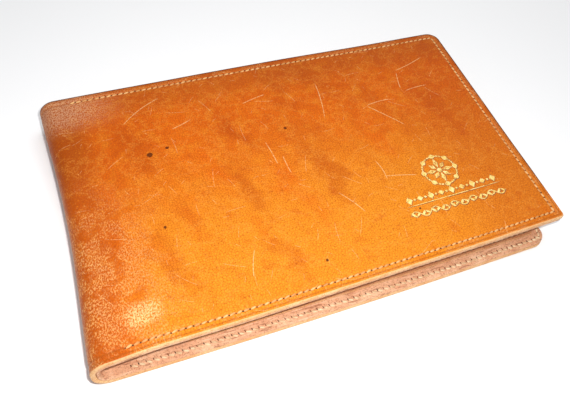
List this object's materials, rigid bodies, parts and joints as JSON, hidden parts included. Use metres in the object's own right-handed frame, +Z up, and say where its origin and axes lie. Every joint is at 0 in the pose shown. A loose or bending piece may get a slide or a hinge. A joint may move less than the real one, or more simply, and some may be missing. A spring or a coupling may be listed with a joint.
{
  "type": "pocket notebook",
  "caption": "Stitched tan leather pocket jotter that folds at its short side, with lined panels, inner pockets and a top-bound paper pad tucked into a sleeve.",
  "frame": {"origin": "under the middle of the closed cover, on the surface it lies on", "axes": "+X along the cover from the fold to the free edges, +Y from the front edge to the back edge, +Z up through the closed cover"},
  "size_m": [0.152, 0.095, 0.0126],
  "materials": {
    "cover_leather": "vegetable-tanned saddle leather, oiled, worn and scratched, satin",
    "lining_leather": "unfinished pinkish-tan split lining, matt",
    "pocket_leather": "thin tan pocket leather, matt",
    "thread": "waxed cream linen thread",
    "gold_foil": "hot-stamped gold foil, rubbed",
    "grey_board": "grey chipboard",
    "paper": "off-white ruled writing paper",
    "binding_cloth": "brown book cloth",
    "staple_wire": "galvanised wire"
  },
  "bodies": {
    "back_cover": {"back_cover_leather": "cover_leather", "back_lining": "lining_leather", "pad_sleeve_leaf": "pocket_leather", "back_edge_needle_thread": "thread", "back_edge_bobbin_thread": "thread", "pad_sleeve_thread": "thread", "pad_back_card": "grey_board", "page_block": "paper", "pad_binding_strip": "binding_cloth", "staple_front": "staple_wire", "staple_back": "staple_wire"},
    "spine": {"spine_leather": "cover_leather", "spine_lining": "lining_leather"},
    "front_cover": {"front_cover_leather": "cover_leather", "front_lining": "lining_leather", "front_pocket_leaf": "pocket_leather", "front_edge_needle_thread": "thread", "front_edge_bobbin_thread": "thread", "front_pocket_thread": "thread", "foil_star": "gold_foil", "foil_bead_rule": "gold_foil", "foil_scroll_rule": "gold_foil"},
    "leaves_1": {"leaf_group_1": "paper"},
    "leaves_2": {"leaf_group_2": "paper"},
    "leaves_3": {"leaf_group_3": "paper"},
    "leaves_4": {"leaf_group_4": "paper"}
  },
  "joints": [
    {"name": "spine_fold", "type": "hinge", "parent": "back_cover", "child": "spine", "pos_m": [-0.0743, 0, 0.0017], "axis": [0, -1, 0], "range_deg": [0, 90]},
    {"name": "cover_fold", "type": "hinge", "parent": "spine", "child": "front_cover", "pos_m": [-0.0743, 0, 0.0108], "axis": [0, -1, 0], "range_deg": [0, 90]},
    {"name": "leaf_turn_1", "type": "hinge", "parent": "back_cover", "child": "leaves_1", "pos_m": [-0.051, 0, 0.00725], "axis": [0, -1, 0], "range_deg": [0, 86]},
    {"name": "leaf_turn_2", "type": "hinge", "parent": "back_cover", "child": "leaves_2", "pos_m": [-0.0505, 0, 0.00675], "axis": [0, -1, 0], "range_deg": [0, 64]},
    {"name": "leaf_turn_3", "type": "hinge", "parent": "back_cover", "child": "leaves_3", "pos_m": [-0.05, 0, 0.00625], "axis": [0, -1, 0], "range_deg": [0, 42]},
    {"name": "leaf_turn_4", "type": "hinge", "parent": "back_cover", "child": "leaves_4", "pos_m": [-0.0495, 0, 0.00575], "axis": [0, -1, 0], "range_deg": [0, 22]}
  ],
  "couplings": [
    {"joint": "spine_fold", "follows": "cover_fold", "ratio": 1},
    {"joint": "leaf_turn_1", "follows": "cover_fold", "ratio": 0.95},
    {"joint": "leaf_turn_2", "follows": "cover_fold", "ratio": 0.7},
    {"joint": "leaf_turn_3", "follows": "cover_fold", "ratio": 0.46},
    {"joint": "leaf_turn_4", "follows": "cover_fold", "ratio": 0.24}
  ]
}
